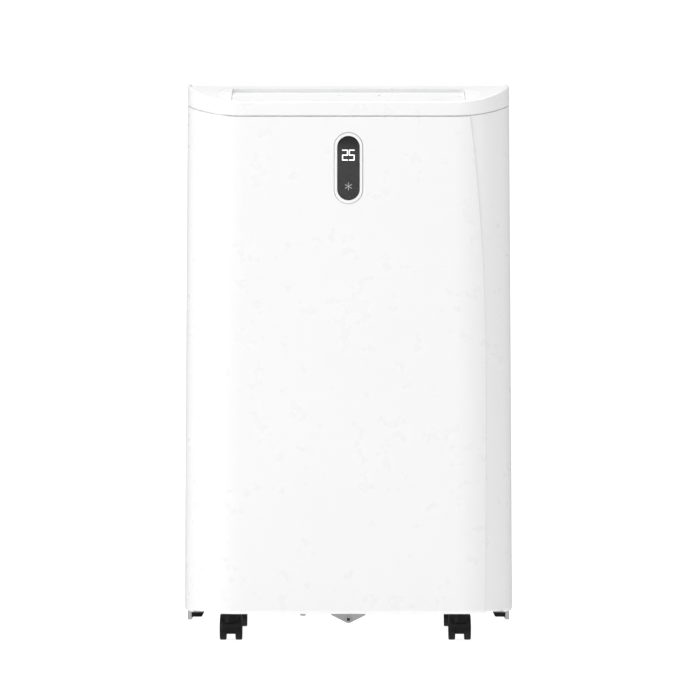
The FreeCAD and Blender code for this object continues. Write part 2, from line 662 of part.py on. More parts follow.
def caster_hood(x, y):
    """Stem, cap and the core between the wheels. The wheels trail towards +Y."""
    axle_y = y + TRAIL
    cap_top = BODY_BOTTOM - CASTER_TOP_GAP
    half = CASTER_WIDE / 2
    core_half = half - WHEEL_WIDE - 0.6
    stem = rod(STEM_R, (x, y, cap_top - 6), (x, y, FLOOR_Z + FLOOR_THICK + STEM_RISE))
    drum_r = WHEEL_R + 3.5
    drum = rod(drum_r, (x - half, axle_y, WHEEL_R), (x + half, axle_y, WHEEL_R))
    drum = drum.makeFillet(4.0, [e for e in drum.Edges if e.BoundBox.XLength < 0.01])
    neck = rod(10.5, (x, y, cap_top - 12), (x, y, cap_top)).common(drum_space(x, y, half))
    drum = drum.common(box(x - half, x + half, y - 40, axle_y + 60, WHEEL_R - 3, cap_top - 1))
    space = WHEEL_R + 1.2
    hollow = [rod(space, (x + side * core_half, axle_y, WHEEL_R), (x + side * (half + 1), axle_y, WHEEL_R))
              for side in (-1, 1)]
    core = rod(WHEEL_R - 7.2, (x - core_half, axle_y, WHEEL_R), (x + core_half, axle_y, WHEEL_R))
    hood = join([drum, core, neck])
    for cut in hollow:
        hood = hood.cut(cut)
    hood = hood.fuse(stem)
    bore = rod(AXLE_R + RUN_GAP, (x - half, axle_y, WHEEL_R), (x + half, axle_y, WHEEL_R))
    return hood.cut(bore).removeSplitter()


def drum_space(x, y, half):
    return box(x - half, x + half, y - 20, y + 40, 0, HEIGHT)


def caster_wheels(x, y):
    axle_y = y + TRAIL
    half = CASTER_WIDE / 2
    pieces = [rod(AXLE_R, (x - half + 1, axle_y, WHEEL_R), (x + half - 1, axle_y, WHEEL_R))]
    for side in (-1, 1):
        outer = x + side * (half - 0.2)
        near = x + side * (half - 0.2 - WHEEL_WIDE)
        wheel = rod(WHEEL_R, (near, axle_y, WHEEL_R), (outer, axle_y, WHEEL_R))
        wheel = wheel.makeFillet(1.6, [e for e in wheel.Edges if e.BoundBox.XLength < 0.01])
        dish = rod(WHEEL_R - 4, (x + side * (half - 1.6), axle_y, WHEEL_R), (outer + side, axle_y, WHEEL_R))
        hub = rod(4, (near, axle_y, WHEEL_R), (x + side * (half - 0.9), axle_y, WHEEL_R))
        pieces += [wheel.cut(dish), hub]
    return join(pieces)


def side_feet():
    """A bent bracket with a rubber pad under each side, near the front."""
    y0 = PANEL_FACE + SIDE_FOOT_INSET
    y1 = y0 + SIDE_FOOT_LENGTH
    outer = half_width(BODY_BOTTOM) - SIDE_FOOT_OUTER
    brackets = []
    pads = []
    for side in (-1, 1):
        leg = sorted((side * outer, side * (outer - BRACKET_WIDE)))
        top = sorted((side * outer, side * (outer - BRACKET_WIDE - PAD_WIDE)))
        bar = sorted((side * (outer - BRACKET_WIDE), side * (outer - BRACKET_WIDE - PAD_WIDE)))
        bracket = box(leg[0], leg[1], y0, y1, BODY_BOTTOM - SIDE_FOOT_DROP, BODY_BOTTOM)
        flange = box(top[0], top[1], y0, y1, BODY_BOTTOM - 1.5, BODY_BOTTOM)
        pad = box(bar[0], bar[1], y0, y1, BODY_BOTTOM - 7.5, BODY_BOTTOM - 1.5)
        inner_x = side * (outer - BRACKET_WIDE - PAD_WIDE)
        edges = [e for e in pad.Edges if e.BoundBox.YLength > 1 and abs(e.BoundBox.XMin - inner_x) < 0.01]
        brackets.append(bracket.fuse(flange).removeSplitter())
        pads.append(pad.makeFillet(2.5, edges))
    return group(brackets), group(pads)


def front_tab():
    """A plated tab with a blind threaded boss behind its hole."""
    y = PANEL_FACE + 4
    half = TAB_WIDE / 2
    low = BODY_BOTTOM - TAB_DROP
    points = [vec(-half, y, BODY_BOTTOM), vec(half, y, BODY_BOTTOM), vec(half, y, BODY_BOTTOM - 1.2),
              vec(2, y, low), vec(-2, y, low), vec(-half, y, BODY_BOTTOM - 1.2)]
    plate = Part.Face(Part.makePolygon(points + points[:1])).extrude(vec(0, 1.6, 0))
    flange = box(-half, half, y, y + 20, BODY_BOTTOM - 1.6, BODY_BOTTOM)
    z = BODY_BOTTOM - TAB_HOLE_DROP
    boss = rod(TAB_HOLE_R + 1.3, (TAB_HOLE_X, y - 0.8, z), (TAB_HOLE_X, y + 8, z))
    hole = rod(TAB_HOLE_R, (TAB_HOLE_X, y - 2, z), (TAB_HOLE_X, y + 7, z))
    return join([plate, flange, boss]).cut(hole)


# Air movers

def scroll_centre_z(floor):
    return floor + 2 + SCROLL_R


def scroll_mouth_z(floor):
    return scroll_centre_z(floor) + SCROLL_R + 8


def scroll_mouth_x(x):
    return x - SCROLL_R, x - SCROLL_R + MOUTH_WIDE


def scroll(x, z, mouth_z):
    left, right = scroll_mouth_x(x)

    def form(t):
        drum = rod(SCROLL_R - t, (x, SCROLL_Y0 + t, z), (x, SCROLL_Y1 - t, z))
        top = mouth_z if t == 0 else mouth_z + 1
        return drum.fuse(box(left + t, right - t, SCROLL_Y0 + t, SCROLL_Y1 - t, z, top))

    shell = form(0).cut(form(SCROLL_WALL))
    inlet = rod(FAN_R - 12, (x, SCROLL_Y1 - 5, z), (x, SCROLL_Y1 + 5, z))
    back = rod(12, (x, SCROLL_Y0 - 5, z), (x, SCROLL_Y0 + 5, z))
    return shell.cut(inlet).cut(back).removeSplitter()


def blower_wheel(x, z):
    y0 = SCROLL_Y0 + 8
    y1 = SCROLL_Y1 - 8
    plate = rod(FAN_R, (x, y0, z), (x, y0 + 2, z))
    ring = tube(FAN_R, FAN_R - 5, (x, y1 - 3, z), (x, y1, z))
    hub = rod(10, (x, y0, z), (x, y0 + 22, z))
    shaft = rod(SHAFT_R, (x, SCROLL_Y0 - 40, z), (x, y0 + 2, z))
    blade = box(FAN_R - 13, FAN_R - 1, y0 + 1, y1 - 1, -0.6, 0.6)
    blade.rotate(vec(FAN_R - 7, 0, 0), vec(0, 1, 0), 24)
    blades = []
    for index in range(WHEEL_BLADES):
        copy = blade.copy()
        copy.rotate(vec(0, 0, 0), vec(0, 1, 0), 360 / WHEEL_BLADES * index)
        copy.translate(vec(x, 0, z))
        blades.append(copy)
    return join([plate, ring, hub, shaft] + blades)


def blower_motor(x, z):
    y1 = SCROLL_Y0
    y0 = y1 - 44
    can = rod(MOTOR_R, (x, y0, z), (x, y1 - 8, z))
    can = can.makeFillet(5, [e for e in can.Edges if e.BoundBox.YLength < 0.01])
    spokes = []
    for turn in (30, 150, 270):
        spoke_x = x + 34 * math.cos(math.radians(turn))
        spoke_z = z + 34 * math.sin(math.radians(turn))
        spokes.append(rod(3.5, (spoke_x, y1 - 12, spoke_z), (spoke_x, y1, spoke_z)))
    motor = join([can] + spokes)
    return motor.cut(rod(SHAFT_R + RUN_GAP, (x, SCROLL_Y0 - 41, z), (x, y1 + 1, z)))


# Coils

def coil(z0, z1, rows):
    half = half_width(HEIGHT) - COIL_SIDE_GAP
    y1 = BACK - COIL_REAR_GAP
    y0 = y1 - COIL_DEPTH
    columns = (y0 + COIL_DEPTH * 0.25, y0 + COIL_DEPTH * 0.75)
    pitch = (z1 - z0) / rows
    heights = [z0 + pitch * (row + 0.5) for row in range(rows)]
    places = [(y, z) for y in columns for z in heights]
    fin = box(0, FIN_THICK, y0, y1, z0, z1)
    plate = box(0, 1.5, y0 - 2, y1 + 2, z0, z1)
    for y, z in places:
        hole = rod(TUBE_R + 0.1, (-1, y, z), (3, y, z))
        fin = fin.cut(hole)
        plate = plate.cut(hole)
    count = int(2 * half / FIN_PITCH)
    fins = []
    for index in range(count + 1):
        copy = fin.copy()
        copy.translate(vec(-half + 1.5 + index * (2 * half - 3 - FIN_THICK) / count, 0, 0))
        fins.append(copy)
    rail_low = box(-half, half, y0 - 2, y1 + 2, z0 - 1.5, z0)
    rail_high = box(-half, half, y0 - 2, y1 + 2, z1, z1 + 1.5)
    left = plate.copy()
    left.translate(vec(-half, 0, 0))
    right = plate.copy()
    right.translate(vec(half - 1.5, 0, 0))
    frame = join([left, right, rail_low, rail_high] + fins)
    reach = half + 5
    pipes = []
    for y, z in places:
        pipes.append(rod(TUBE_R, (-reach, y, z), (reach, y, z)))
    for index, (y, z) in enumerate(places):
        if (index % rows) == rows - 1:
            continue
        side = 1 if index % 2 else -1
        bend = Part.makeTorus(pitch / 2, TUBE_R, vec(side * reach, y, z + pitch / 2), vec(0, 1, 0))
        keep = sorted((side * reach, side * (reach + BIG)))
        pipes.append(bend.common(box(keep[0], keep[1], y - BIG, y + BIG, z - BIG, z + pitch + BIG)))
    return frame, join(pipes)


# Lower compartment

def grommet_places():
    places = []
    for turn in (30, 150, 270):
        angle = math.radians(turn)
        places.append((COMPRESSOR_X + COMPRESSOR_FEET_R * math.cos(angle),
                       COMPRESSOR_Y + COMPRESSOR_FEET_R * math.sin(angle)))
    return places


def compressor():
    foot_z = FLOOR_Z + FLOOR_THICK + 14
    base = foot_z + 3
    top = base + COMPRESSOR_TALL
    shell = rod(COMPRESSOR_R, (COMPRESSOR_X, COMPRESSOR_Y, base), (COMPRESSOR_X, COMPRESSOR_Y, top))
    shell = shell.makeFillet(18, [e for e in shell.Edges if e.BoundBox.ZMin > top - 1 and e.BoundBox.ZLength < 0.01])
    pieces = [shell, rod(9, (COMPRESSOR_X, COMPRESSOR_Y, top - 1), (COMPRESSOR_X, COMPRESSOR_Y, top + 12))]
    for x, y in grommet_places():
        pieces.append(rod(11, (x, y, foot_z), (x, y, foot_z + 3)))
        direction = vec(x - COMPRESSOR_X, y - COMPRESSOR_Y, 0).normalize()
        arm = box(0, COMPRESSOR_FEET_R, -11, 11, foot_z, foot_z + 3)
        arm.rotate(vec(0, 0, 0), vec(0, 0, 1), math.degrees(math.atan2(direction.y, direction.x)))
        arm.translate(vec(COMPRESSOR_X, COMPRESSOR_Y, 0))
        pieces.append(arm)
    body = join(pieces)
    for x, y in grommet_places():
        body = body.cut(rod(6, (x, y, foot_z - 1), (x, y, foot_z + 4)))
    return body


def accumulator():
    x, y = ACCUMULATOR_X, ACCUMULATOR_Y
    low = FLOOR_Z + FLOOR_THICK + ACCUMULATOR_LOW
    can = rod(ACCUMULATOR_R, (x, y, low), (x, y, low + ACCUMULATOR_TALL))
    can = can.makeFillet(10, [e for e in can.Edges if e.BoundBox.ZLength < 0.01])
    run = vec(COMPRESSOR_X - x, COMPRESSOR_Y - y, 0)
    end = vec(x, y, low + 40) + run * ((run.Length - COMPRESSOR_R) / run.Length)
    strap = rod(5, (x, y, low + 40), (end.x, end.y, end.z))
    shell = rod(COMPRESSOR_R, (COMPRESSOR_X, COMPRESSOR_Y, 0), (COMPRESSOR_X, COMPRESSOR_Y, HEIGHT))
    return can.fuse(strap).cut(shell)


def compressor_grommets():
    low = FLOOR_Z + FLOOR_THICK + 2
    foot_z = FLOOR_Z + FLOOR_THICK + 14
    rubbers = []
    for x, y in grommet_places():
        body = rod(10, (x, y, low), (x, y, foot_z))
        sleeve = rod(6, (x, y, foot_z), (x, y, foot_z + 3))
        rubbers.append(body.fuse(sleeve).cut(rod(2.6, (x, y, 0), (x, y, HEIGHT))))
    return group(rubbers)


def compressor_nuts():
    top = FLOOR_Z + FLOOR_THICK + 17
    nuts = []
    for x, y in grommet_places():
        washer = rod(8, (x, y, top), (x, y, top + 1.5))
        corners = [vec(x + 4.6 * math.cos(math.radians(a)), y + 4.6 * math.sin(math.radians(a)), top + 1.5)
                   for a in range(0, 360, 60)]
        nut = Part.Face(Part.makePolygon(corners + corners[:1])).extrude(vec(0, 0, 4))
        nuts.append(washer.fuse(nut).cut(rod(2.6, (x, y, 0), (x, y, HEIGHT))))
    return group(nuts)


def pipe(points, radius, bend):
    """A bent pipe: straight runs joined by tangent arcs."""
    corners = [vec(*p) for p in points]
    edges = []
    start = corners[0]
    for before, corner, after in zip(corners, corners[1:], corners[2:]):
        back = (before - corner).normalize()
        ahead = (after - corner).normalize()
        turn = math.pi - back.getAngle(ahead)
        reach = bend * math.tan(turn / 2)
        middle = (back + ahead).normalize()
        into = corner + back * reach
        out = corner + ahead * reach
        top = corner + middle * (bend / math.cos(turn / 2) - bend)
        edges.append(Part.makeLine(start, into))
        edges.append(Part.Arc(into, top, out).toShape())
        start = out
    edges.append(Part.makeLine(start, corners[-1]))
    path = Part.Wire(edges)
    direction = (corners[1] - corners[0]).normalize()
    profile = Part.Wire(Part.makeCircle(radius, corners[0], direction))
    return path.makePipeShell([profile], True, False)


def riser_place():
    """Where the suction line rises beside the upper coil."""
    return half_width(HEIGHT) - COIL_SIDE_GAP + 26, BACK - COIL_REAR_GAP - COIL_DEPTH - 14


def refrigerant_pipes():
    """The suction line and the discharge line."""
    side, coil_y = riser_place()
    top = FLOOR_Z + FLOOR_THICK + 17 + COMPRESSOR_TALL
    x, y = ACCUMULATOR_X, ACCUMULATOR_Y
    can_top = FLOOR_Z + FLOOR_THICK + ACCUMULATOR_LOW + ACCUMULATOR_TALL
    suction = pipe([(x, y, can_top), (x, y, TRAY_Z - 30), (side, coil_y, TRAY_Z - 30),
                    (side, coil_y, TRAY_Z + 60)], 5, 14)
    discharge = pipe([(COMPRESSOR_X, COMPRESSOR_Y, top + 12), (COMPRESSOR_X, COMPRESSOR_Y, top + 50),
                      (side - 60, coil_y - 24, top + 50), (side - 60, coil_y - 24, top - 20),
                      (side - 30, coil_y - 4, top - 20), (side - 30, coil_y - 4, top - 80)], 4, 12)
    return group([suction, discharge])


def drain_tray(inner):
    outer = inner.common(box(-WIDTH, WIDTH, -DEPTH, BACK - GRILLE_DEEP - 6, TRAY_Z, TRAY_Z + TRAY_THICK))
    half = half_width(HEIGHT) - COIL_SIDE_GAP + 4
    y1 = BACK - COIL_REAR_GAP + 6
    trough = box(-half, half, y1 - COIL_DEPTH - 12, y1, TRAY_Z + 3, TRAY_Z + TRAY_THICK + 1)
    side, coil_y = riser_place()
    hole = rod(7, (side, coil_y, 0), (side, coil_y, HEIGHT))
    return outer.cut(trough).cut(hole)


def electrical_box():
    x1 = half_width(HEIGHT) - 28
    x0 = x1 - 68
    y0 = SIDE_FACE + 34
    y1 = y0 + 100
    z0 = TRAY_Z + TRAY_THICK
    case = box(x0, x1, y0, y1, z0, z0 + 140)
    hollow = box(x0 + 1.5, x1 - 1.5, y0 + 1.5, y1 - 1.5, z0 + 1.5, z0 + 138.5)
    fins = [box(x0 - 4, x0, y0 + 10 + 8 * index, y0 + 12 + 8 * index, z0 + 20, z0 + 100) for index in range(8)]
    return join([case.cut(hollow)] + fins)


def exhaust_duct():
    """Turns the condenser air from the scroll's mouth to the round outlet at the back."""
    left = EXHAUST_X - EXHAUST_R - 2 * EXHAUST_WALL
    right = EXHAUST_X + EXHAUST_R + 2 * EXHAUST_WALL
    low = lower_mouth_z()
    high = TRAY_Z - 1
    y1 = BACK - COIL_REAR_GAP
    outer = box(left, right, SCROLL_Y0, y1, low, high)
    inner = box(left + WALL, right - WALL, SCROLL_Y0 + WALL, y1 - WALL, low + WALL, high - WALL)
    duct = outer.cut(inner)
    mouth_left, mouth_right = scroll_mouth_x(LOWER_SCROLL_X)
    duct = duct.cut(box(mouth_left + SCROLL_WALL, mouth_right - SCROLL_WALL, SCROLL_Y0 + SCROLL_WALL,
                        SCROLL_Y1 - SCROLL_WALL, low - 1, low + BIG))
    return duct.cut(rod(EXHAUST_R, (EXHAUST_X, 0, EXHAUST_Z), (EXHAUST_X, BACK, EXHAUST_Z)))


def lower_mouth_z():
    return LOWER_SCROLL_Z + SCROLL_R + 8


def exhaust_collar():
    start = (EXHAUST_X, BACK - COIL_REAR_GAP, EXHAUST_Z)
    end = (EXHAUST_X, BACK, EXHAUST_Z)
    return tube(EXHAUST_R + EXHAUST_WALL, EXHAUST_R, start, end)


def intake_grille(window):
    z, tall = window
    y0 = BACK - GRILLE_DEEP
    frame = window_box(window, GRILLE_GAP, y0, BACK)
    hollow = window_box(window, GRILLE_GAP + 7, y0 - 1, BACK + 1)
    wide = hollow.BoundBox.XLength
    low = hollow.BoundBox.ZMin
    high = hollow.BoundBox.ZMax
    pieces = [frame.cut(hollow)]
    count = int((high - low) / SLAT_PITCH)
    pitch = (high - low) / count
    for index in range(1, count):
        slat = box(-wide / 2 - 1, wide / 2 + 1, y0, BACK - 0.5, -1.0, 1.0)
        slat.translate(vec(0, 0, low + pitch * index))
        pieces.append(slat)
    ribs = 4
    for index in range(1, ribs):
        x = -wide / 2 + wide * index / ribs
        pieces.append(box(x - 1.2, x + 1.2, y0, BACK - 2.5, low - 1, high + 1))
    return join(pieces)


def filter_mesh(window):
    y1 = BACK - GRILLE_DEEP
    return window_box(window, GRILLE_GAP + 1, y1 - 2, y1)


def drain_plug():
    y1 = BACK - 1
    grip = rod(DRAIN_R + 3.5, (DRAIN_X, BACK - 8, DRAIN_Z), (DRAIN_X, y1, DRAIN_Z))
    grip = grip.makeFillet(1.2, [e for e in grip.Edges if e.BoundBox.YMin > y1 - 0.01])
    bung = rod(DRAIN_R - 3 - RUN_GAP, (DRAIN_X, BACK - 24, DRAIN_Z), (DRAIN_X, BACK - 8, DRAIN_Z))
    return grip.fuse(bung).removeSplitter()


def cord_gland():
    """The inlet that a power cord would pass through."""
    inner_end = (GLAND_X, BACK - 10, GLAND_Z)
    face = (GLAND_X, BACK, GLAND_Z)
    body = rod(GLAND_R, inner_end, face)
    flange = rod(11, inner_end, (GLAND_X, BACK - WALL, GLAND_Z))
    passage = rod(4.0, (GLAND_X, BACK - 20, GLAND_Z), (GLAND_X, BACK + 5, GLAND_Z))
    return body.fuse(flange).cut(passage).removeSplitter()


def build():
    outer = cabinet_form(0, PANEL_FACE)
    side_outer = cabinet_form(0, SIDE_FACE)
    inner = cabinet_form(WALL, SIDE_FACE)
    seam = under_crown(SEAM_LEVEL, SEAM_RISE)
    nodes = {}
    nodes["front_panel"] = front_panel(outer, inner, seam)
    nodes["side_panel_left"], nodes["side_panel_right"] = side_panels(side_outer, inner, seam)
    nodes["rear_panel"] = rear_panel(side_outer, inner, seam).cut(counterbores())
    nodes["top_rim"] = top_rim(outer, inner, seam)
    nodes["top_deck"] = top_deck()
    nodes["outlet_frame"] = outlet_frame()
    nodes["outlet_duct"] = outlet_duct()
    nodes["louver_flap"] = louver_flap()
    for index, x in enumerate(vane_places()):
        nodes[f"vane_{index + 1}"] = vane(x)
    nodes["vane_link"] = vane_link()
    nodes["control_panel"] = control_panel()
    for name, x in zip(("power", "mode", "fan", "timer"), button_places()):
        nodes[f"button_{name}"] = push_button(x)
    nodes["display_bezel"], nodes["display_window"], nodes["display_symbols"] = display_pieces()
    nodes["base_pan"] = base_pan(inner)
    for name, (x, y) in stem_places().items():
        nodes[f"caster_hood_{name}"] = caster_hood(x, y)
        nodes[f"caster_wheels_{name}"] = caster_wheels(x, y)
    nodes["foot_brackets"], nodes["foot_pads"] = side_feet()
    nodes["front_tab"] = front_tab()
    upper_z = scroll_centre_z(TRAY_Z + TRAY_THICK)
    nodes["evaporator_scroll"] = scroll(0, upper_z, scroll_mouth_z(TRAY_Z + TRAY_THICK))
    nodes["evaporator_wheel"] = blower_wheel(0, upper_z)
    nodes["evaporator_motor"] = blower_motor(0, upper_z)
    nodes["condenser_scroll"] = scroll(LOWER_SCROLL_X, LOWER_SCROLL_Z, lower_mouth_z())
    nodes["condenser_wheel"] = blower_wheel(LOWER_SCROLL_X, LOWER_SCROLL_Z)
    nodes["condenser_motor"] = blower_motor(LOWER_SCROLL_X, LOWER_SCROLL_Z)
    coil_low = TRAY_Z + TRAY_THICK + 1.5
    nodes["evaporator_fins"], nodes["evaporator_tubes"] = coil(coil_low, coil_low + 180, 6)
    nodes["condenser_fins"], nodes["condenser_tubes"] = coil(83, lower_mouth_z() - 3, 5)
    nodes["drain_tray"] = drain_tray(inner)
    nodes["compressor"] = compressor()
    nodes["accumulator"] = accumulator()
    nodes["compressor_grommets"] = compressor_grommets()
    nodes["compressor_nuts"] = compressor_nuts()
    nodes["refrigerant_pipes"] = refrigerant_pipes()
    nodes["electrical_box"] = electrical_box()
    nodes["exhaust_duct"] = exhaust_duct()
    nodes["exhaust_collar"] = exhaust_collar()
    nodes["upper_grille"] = intake_grille(UPPER_WINDOW)
    nodes["upper_filter_mesh"] = filter_mesh(UPPER_WINDOW)
    nodes["lower_grille"] = intake_grille(LOWER_WINDOW)
    nodes["lower_filter_mesh"] = filter_mesh(LOWER_WINDOW)
    nodes["drain_plug"] = drain_plug()
    nodes["cord_gland"] = cord_gland()
    nodes["case_screws"] = case_screws()
    return nodes


os.makedirs("parts", exist_ok=True)
for name, shape in build().items():
    shape.exportStep(f"parts/{name}.step")
    print(name, shape.isValid(), len(shape.Solids), round(shape.Volume))
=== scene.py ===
"""Studio picture of the portable air conditioner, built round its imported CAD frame.

Lengths are in metres and light powers in watts.
"""

import json
import math

import bmesh
import bpy
from mathutils import Matrix, Vector


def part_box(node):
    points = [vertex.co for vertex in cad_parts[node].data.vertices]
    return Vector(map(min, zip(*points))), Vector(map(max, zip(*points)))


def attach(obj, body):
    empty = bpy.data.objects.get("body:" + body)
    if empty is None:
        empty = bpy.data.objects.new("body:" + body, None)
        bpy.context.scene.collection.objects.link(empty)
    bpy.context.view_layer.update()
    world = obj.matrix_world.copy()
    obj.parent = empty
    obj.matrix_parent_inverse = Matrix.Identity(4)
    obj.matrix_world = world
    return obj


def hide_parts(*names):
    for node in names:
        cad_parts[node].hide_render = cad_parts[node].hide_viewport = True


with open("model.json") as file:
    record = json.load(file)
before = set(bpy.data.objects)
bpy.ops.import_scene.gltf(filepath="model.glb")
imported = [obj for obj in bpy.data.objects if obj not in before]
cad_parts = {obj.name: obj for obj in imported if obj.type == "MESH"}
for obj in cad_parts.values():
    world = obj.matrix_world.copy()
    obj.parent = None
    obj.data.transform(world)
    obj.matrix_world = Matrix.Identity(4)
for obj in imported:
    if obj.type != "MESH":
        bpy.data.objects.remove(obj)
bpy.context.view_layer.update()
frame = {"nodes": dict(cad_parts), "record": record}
NODES = frame["nodes"]

# Camera
CAMERA_AWAY = 4.5           # ahead of the cabinet's face
CAMERA_X = 0.0019
CAMERA_Z = 0.366
CAMERA_LENS = 185.4         # millimetres
SENSOR_WIDTH = 36.0         # millimetres
CAMERA_REACH = 30.0         # nothing farther off is drawn

# Stage: a floor that bends up into a backdrop
STAGE_NEAR = -30.0
STAGE_FAR = 9.0
STAGE_HALF = 30.0
STAGE_TALL = 9.0
STAGE_BEND = 2.5
BEND_STEPS = 12
STAGE_GLOW = 0.85

# Light
LIGHT_AIM = (0, 0, 0.4)
WORLD_STRENGTH = 0.30

# Textures
TINT_START = 0.35           # the band of a texture that takes a colour from dark to light
TINT_END = 0.65
REMAP_START = 0.3           # the band of a texture that takes a value from low to high
REMAP_END = 0.7
COAT_ROUGH = 0.12

# Display
WINDOW_SHADE_SPAN = 0.020         # painted shade: the window darkens over this length at its top, under the bezel's ring
WINDOW_SHADE_LEFT = 0.15          # what is left of its colour under the painted shade
SNOWFLAKE_DIM = 0.27        # its light against the digits'
SYMBOL_GLOW = 0.9

# Filter mesh
MESH_PITCH = 0.0042
MESH_INSET = 0.003          # the strands stop this far inside the frame's outline
MESH_EDGE = 0.004           # width of the frame
STRAND_R = 0.00035
STRAND_SIDES = 6

# Button icons
ICON_R = 0.0032
ICON_LINE = 0.0007
ICON_TALL = 0.00018
ARC_STEPS = 48              # round a whole turn
ARC_LEAST = 8
WHOLE_TURN = 2 * math.pi
OPEN_ARC = math.radians(300)
POWER_START = math.radians(120)
POWER_LOW = 0.0008          # the power stroke's ends: its foot above the centre, its head past the arc
POWER_PAST = 0.0006
FAN_HUB_R = 0.0007
FAN_BLADE_R = 0.0012
FAN_BLADE_OUT = 0.0021
LONG_HAND = 0.62            # shares of the clock's radius
SHORT_HAND = 0.5


# Shader nodes

def new_material(name):
    material = bpy.data.materials.new(name)
    material.use_nodes = True
    shader = material.node_tree.nodes["Principled BSDF"]
    return material, material.node_tree, shader


def add_node(tree, kind, **values):
    """A new node, each value set on its input or, where it has none of that name, on the node."""
    node = tree.nodes.new(kind)
    for key, value in values.items():
        if key in node.inputs:
            node.inputs[key].default_value = value
        else:
            setattr(node, key, value)
    return node


def object_place(tree):
    return add_node(tree, "ShaderNodeTexCoord").outputs["Object"]


def height(tree):
    split = add_node(tree, "ShaderNodeSeparateXYZ")
    tree.links.new(object_place(tree), split.inputs["Vector"])
    return split.outputs["Z"]


def noise(tree, scale, detail, rough=0.5, stretch=(1, 1, 1)):
    """A noise texture in object space."""
    mapping = add_node(tree, "ShaderNodeMapping", Scale=stretch)
    texture = add_node(tree, "ShaderNodeTexNoise", Scale=scale, Detail=detail, Roughness=rough)
    tree.links.new(object_place(tree), mapping.inputs["Vector"])
    tree.links.new(mapping.outputs["Vector"], texture.inputs["Vector"])
    return texture.outputs["Fac"]


def map_range(tree, source, start, end, low, high):
    """Takes the values from start to end to those from low to high."""
    node = add_node(tree, "ShaderNodeMapRange")
    node.inputs["From Min"].default_value = start
    node.inputs["From Max"].default_value = end
    node.inputs["To Min"].default_value = low
    node.inputs["To Max"].default_value = high
    tree.links.new(source, node.inputs["Value"])
    return node.outputs["Result"]


def remap(tree, texture, limits):
    """Takes a texture's middle band to a range."""
    low, high = limits
    return map_range(tree, texture, REMAP_START, REMAP_END, low, high)


def tint(tree, factor, dark, light):
    ramp = add_node(tree, "ShaderNodeValToRGB")
    first, last = ramp.color_ramp.elements
    first.position = TINT_START
    first.color = (*dark, 1)
    last.position = TINT_END
    last.color = (*light, 1)
    tree.links.new(factor, ramp.inputs["Fac"])
    return ramp.outputs["Color"]


def dimmed(tree, colour, factor):
    node = add_node(tree, "ShaderNodeVectorMath", operation="SCALE")
    tree.links.new(colour, node.inputs["Vector"])
    tree.links.new(factor, node.inputs["Scale"])
    return node.outputs["Vector"]


def bump(tree, shader, texture, strength, depth):
    node = add_node(tree, "ShaderNodeBump", Strength=strength, Distance=depth)
    tree.links.new(texture, node.inputs["Height"])
    tree.links.new(node.outputs["Normal"], shader.inputs["Normal"])


# Kinds of material

def moulded(name, dark, light, rough, grain=900.0, strength=0.08, depth=0.00004, coat=0.0, specular=0.5):
    """Moulded plastic or rubber: slight mottling, an uneven gloss and a fine grain."""
    material, tree, shader = new_material(name)
    cloud = noise(tree, scale=7.0, detail=5.0)
    wear = noise(tree, scale=38.0, detail=8.0, rough=0.65)
    fine = noise(tree, scale=grain, detail=3.0)
    tree.links.new(tint(tree, cloud, dark, light), shader.inputs["Base Color"])
    tree.links.new(remap(tree, wear, rough), shader.inputs["Roughness"])
    bump(tree, shader, fine, strength, depth)
    shader.inputs["Coat Weight"].default_value = coat
    shader.inputs["Coat Roughness"].default_value = COAT_ROUGH
    shader.inputs["Specular IOR Level"].default_value = specular
    return material


def metal(name, dark, light, rough, grain=60.0, stretch=(1, 1, 1), metallic=1.0):
    """Metal with a fine grain, drawn out in one direction where stretch says so."""
    material, tree, shader = new_material(name)
    fine = noise(tree, scale=grain, detail=8.0, rough=0.6, stretch=stretch)
    blotch = noise(tree, scale=12.0, detail=4.0)
    tree.links.new(tint(tree, blotch, dark, light), shader.inputs["Base Color"])
    tree.links.new(remap(tree, fine, rough), shader.inputs["Roughness"])
    bump(tree, shader, fine, strength=0.15, depth=0.00008)
    shader.inputs["Metallic"].default_value = metallic
    return material


def foam(name, dark, light):
    """Expanded foam: packed beads, with painted shade darkening the crevices between them."""
    material, tree, shader = new_material(name)
    beads = add_node(tree, "ShaderNodeTexVoronoi", Scale=260.0)
    tree.links.new(object_place(tree), beads.inputs["Vector"])
    # painted shade: the colour darkens from each bead's middle towards the crevices between beads
    tree.links.new(tint(tree, beads.outputs["Distance"], light, dark), shader.inputs["Base Color"])
    shader.inputs["Roughness"].default_value = 0.85
    bump(tree, shader, beads.outputs["Distance"], strength=0.4, depth=0.0004)
    return material


def dark_window(name, dark, light):
    """The display's smoked window, with painted shade that darkens it towards its top, under the bezel's
    ring.
    """
    material, tree, shader = new_material(name)
    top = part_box("display_window")[1].z
    cloud = noise(tree, scale=30.0, detail=3.0)
    smear = noise(tree, scale=90.0, detail=6.0, rough=0.6)
    # painted shade: the colour darkens towards the window's top, where the bezel's ring shades it
    top_shade = map_range(tree, height(tree), start=top - WINDOW_SHADE_SPAN, end=top, low=1.0, high=WINDOW_SHADE_LEFT)
    tree.links.new(dimmed(tree, tint(tree, cloud, dark, light), top_shade), shader.inputs["Base Color"])
    tree.links.new(remap(tree, smear, (0.22, 0.34)), shader.inputs["Roughness"])
    shader.inputs["Specular IOR Level"].default_value = 0.35
    return material


